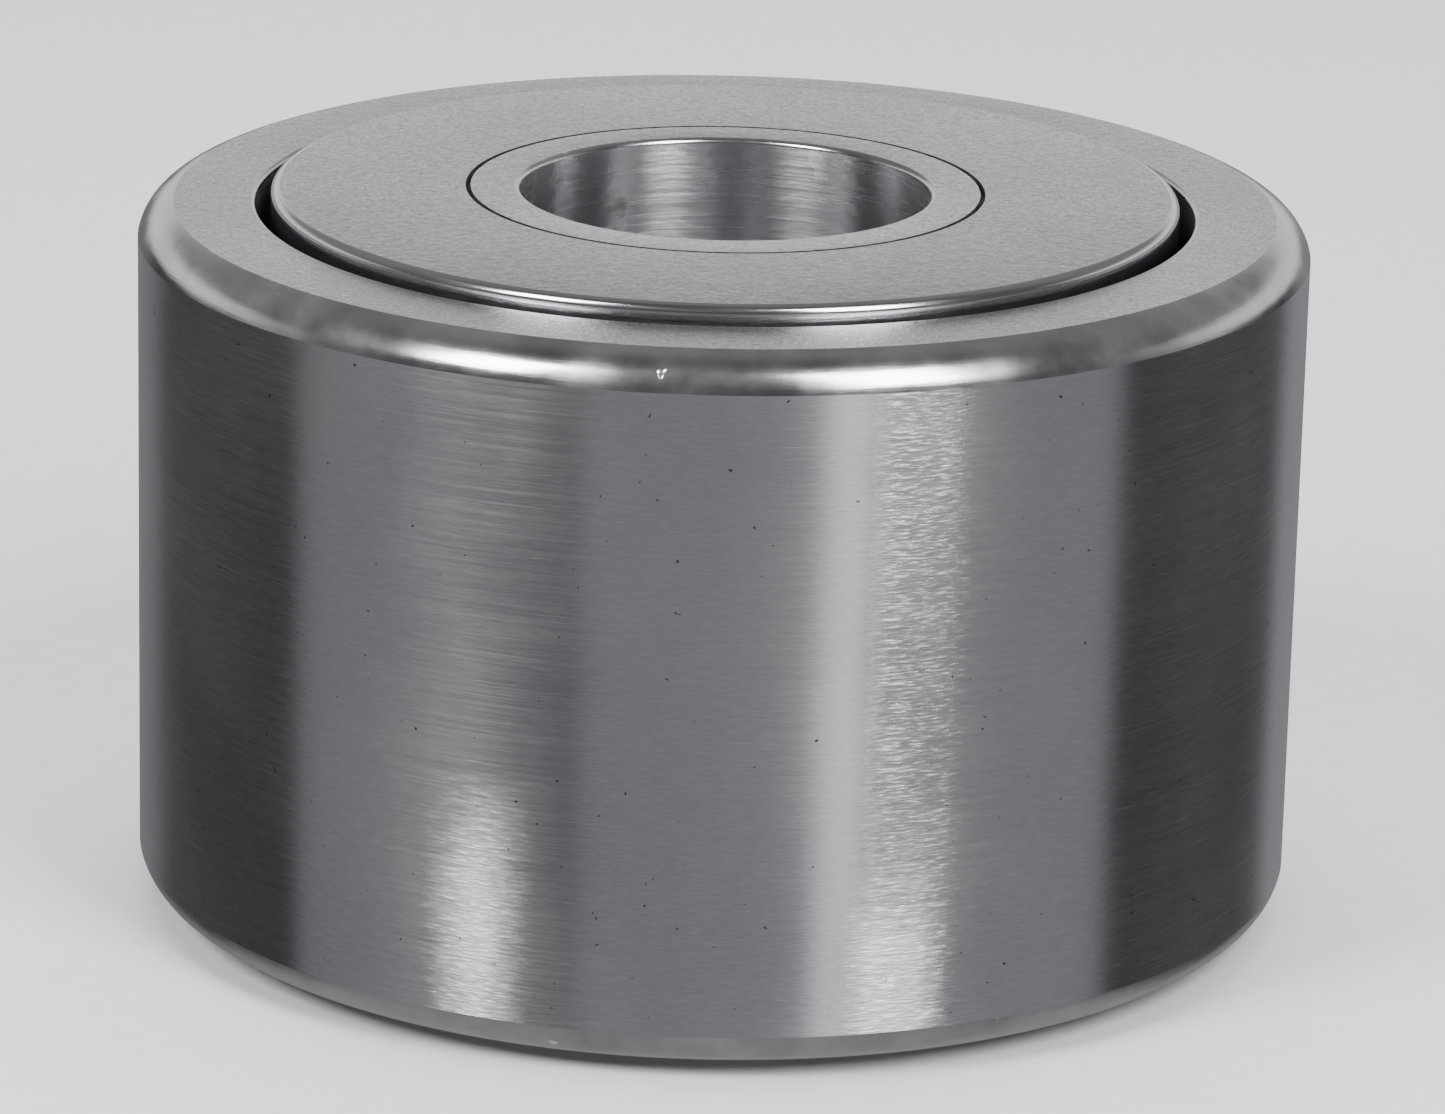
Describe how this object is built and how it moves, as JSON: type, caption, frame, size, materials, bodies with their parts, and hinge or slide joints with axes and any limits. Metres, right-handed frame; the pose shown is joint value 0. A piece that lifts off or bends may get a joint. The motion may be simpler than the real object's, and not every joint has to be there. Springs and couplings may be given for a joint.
{
  "type": "yoke-type cam follower",
  "caption": "Steel track roller with a plain bore, flush inner ring, two end plates that stand proud, and a thick outer ring on caged needle rollers.",
  "frame": {"origin": "on the bore's axis, halfway along the width", "axes": "+Z along the bore's axis, towards the upper end plate; X passes through the inner ring's oil hole"},
  "size_m": [0.0636, 0.0636, 0.0396],
  "materials": {
    "tread_steel": "ground, fine scratches round the tread",
    "inner_ring_steel": "ground",
    "plate_steel": "satin ground",
    "needle_steel": "fine ground",
    "cage_steel": "pressed, matt",
    "seal_polymer": "matt"
  },
  "bodies": {
    "inner_assembly": {"inner_ring": "inner_ring_steel", "end_plate_upper": "plate_steel", "end_plate_lower": "plate_steel"},
    "outer_ring_assembly": {"outer_ring": "tread_steel", "seal_ring_upper": "seal_polymer", "seal_ring_lower": "seal_polymer"},
    "cage": {"needle_cage": "cage_steel"},
    "needle_01_body": {"needle_01": "needle_steel"},
    "needle_02_body": {"needle_02": "needle_steel"},
    "needle_03_body": {"needle_03": "needle_steel"},
    "needle_04_body": {"needle_04": "needle_steel"},
    "needle_05_body": {"needle_05": "needle_steel"},
    "needle_06_body": {"needle_06": "needle_steel"},
    "needle_07_body": {"needle_07": "needle_steel"},
    "needle_08_body": {"needle_08": "needle_steel"},
    "needle_09_body": {"needle_09": "needle_steel"},
    "needle_10_body": {"needle_10": "needle_steel"},
    "needle_11_body": {"needle_11": "needle_steel"},
    "needle_12_body": {"needle_12": "needle_steel"},
    "needle_13_body": {"needle_13": "needle_steel"},
    "needle_14_body": {"needle_14": "needle_steel"},
    "needle_15_body": {"needle_15": "needle_steel"},
    "needle_16_body": {"needle_16": "needle_steel"},
    "needle_17_body": {"needle_17": "needle_steel"},
    "needle_18_body": {"needle_18": "needle_steel"}
  },
  "joints": [
    {"name": "outer_ring_spin", "type": "hinge", "parent": "inner_assembly", "child": "outer_ring_assembly", "pos_m": [0, 0, 0], "axis": [0, 0, 1], "continuous": true},
    {"name": "cage_orbit", "type": "hinge", "parent": "inner_assembly", "child": "cage", "pos_m": [0, 0, 0], "axis": [0, 0, 1], "continuous": true},
    {"name": "needle_01_spin", "type": "hinge", "parent": "cage", "child": "needle_01_body", "pos_m": [0.01778, 0, 0], "axis": [0, 0, 1], "continuous": true},
    {"name": "needle_02_spin", "type": "hinge", "parent": "cage", "child": "needle_02_body", "pos_m": [0.01671, 0.00608, 0], "axis": [0, 0, 1], "continuous": true},
    {"name": "needle_03_spin", "type": "hinge", "parent": "cage", "child": "needle_03_body", "pos_m": [0.01362, 0.01143, 0], "axis": [0, 0, 1], "continuous": true},
    {"name": "needle_04_spin", "type": "hinge", "parent": "cage", "child": "needle_04_body", "pos_m": [0.00889, 0.0154, 0], "axis": [0, 0, 1], "continuous": true},
    {"name": "needle_05_spin", "type": "hinge", "parent": "cage", "child": "needle_05_body", "pos_m": [0.00309, 0.01751, 0], "axis": [0, 0, 1], "continuous": true},
    {"name": "needle_06_spin", "type": "hinge", "parent": "cage", "child": "needle_06_body", "pos_m": [-0.00309, 0.01751, 0], "axis": [0, 0, 1], "continuous": true},
    {"name": "needle_07_spin", "type": "hinge", "parent": "cage", "child": "needle_07_body", "pos_m": [-0.00889, 0.0154, 0], "axis": [0, 0, 1], "continuous": true},
    {"name": "needle_08_spin", "type": "hinge", "parent": "cage", "child": "needle_08_body", "pos_m": [-0.01362, 0.01143, 0], "axis": [0, 0, 1], "continuous": true},
    {"name": "needle_09_spin", "type": "hinge", "parent": "cage", "child": "needle_09_body", "pos_m": [-0.01671, 0.00608, 0], "axis": [0, 0, 1], "continuous": true},
    {"name": "needle_10_spin", "type": "hinge", "parent": "cage", "child": "needle_10_body", "pos_m": [-0.01778, 0, 0], "axis": [0, 0, 1], "continuous": true},
    {"name": "needle_11_spin", "type": "hinge", "parent": "cage", "child": "needle_11_body", "pos_m": [-0.01671, -0.00608, 0], "axis": [0, 0, 1], "continuous": true},
    {"name": "needle_12_spin", "type": "hinge", "parent": "cage", "child": "needle_12_body", "pos_m": [-0.01362, -0.01143, 0], "axis": [0, 0, 1], "continuous": true},
    {"name": "needle_13_spin", "type": "hinge", "parent": "cage", "child": "needle_13_body", "pos_m": [-0.00889, -0.0154, 0], "axis": [0, 0, 1], "continuous": true},
    {"name": "needle_14_spin", "type": "hinge", "parent": "cage", "child": "needle_14_body", "pos_m": [-0.00309, -0.01751, 0], "axis": [0, 0, 1], "continuous": true},
    {"name": "needle_15_spin", "type": "hinge", "parent": "cage", "child": "needle_15_body", "pos_m": [0.00309, -0.01751, 0], "axis": [0, 0, 1], "continuous": true},
    {"name": "needle_16_spin", "type": "hinge", "parent": "cage", "child": "needle_16_body", "pos_m": [0.00889, -0.0154, 0], "axis": [0, 0, 1], "continuous": true},
    {"name": "needle_17_spin", "type": "hinge", "parent": "cage", "child": "needle_17_body", "pos_m": [0.01362, -0.01143, 0], "axis": [0, 0, 1], "continuous": true},
    {"name": "needle_18_spin", "type": "hinge", "parent": "cage", "child": "needle_18_body", "pos_m": [0.01671, -0.00608, 0], "axis": [0, 0, 1], "continuous": true}
  ],
  "couplings": [
    {"joint": "cage_orbit", "follows": "outer_ring_spin", "ratio": 0.56338},
    {"joint": "needle_01_spin", "follows": "outer_ring_spin", "ratio": 3.8811},
    {"joint": "needle_02_spin", "follows": "outer_ring_spin", "ratio": 3.8811},
    {"joint": "needle_03_spin", "follows": "outer_ring_spin", "ratio": 3.8811},
    {"joint": "needle_04_spin", "follows": "outer_ring_spin", "ratio": 3.8811},
    {"joint": "needle_05_spin", "follows": "outer_ring_spin", "ratio": 3.8811},
    {"joint": "needle_06_spin", "follows": "outer_ring_spin", "ratio": 3.8811},
    {"joint": "needle_07_spin", "follows": "outer_ring_spin", "ratio": 3.8811},
    {"joint": "needle_08_spin", "follows": "outer_ring_spin", "ratio": 3.8811},
    {"joint": "needle_09_spin", "follows": "outer_ring_spin", "ratio": 3.8811},
    {"joint": "needle_10_spin", "follows": "outer_ring_spin", "ratio": 3.8811},
    {"joint": "needle_11_spin", "follows": "outer_ring_spin", "ratio": 3.8811},
    {"joint": "needle_12_spin", "follows": "outer_ring_spin", "ratio": 3.8811},
    {"joint": "needle_13_spin", "follows": "outer_ring_spin", "ratio": 3.8811},
    {"joint": "needle_14_spin", "follows": "outer_ring_spin", "ratio": 3.8811},
    {"joint": "needle_15_spin", "follows": "outer_ring_spin", "ratio": 3.8811},
    {"joint": "needle_16_spin", "follows": "outer_ring_spin", "ratio": 3.8811},
    {"joint": "needle_17_spin", "follows": "outer_ring_spin", "ratio": 3.8811},
    {"joint": "needle_18_spin", "follows": "outer_ring_spin", "ratio": 3.8811}
  ]
}
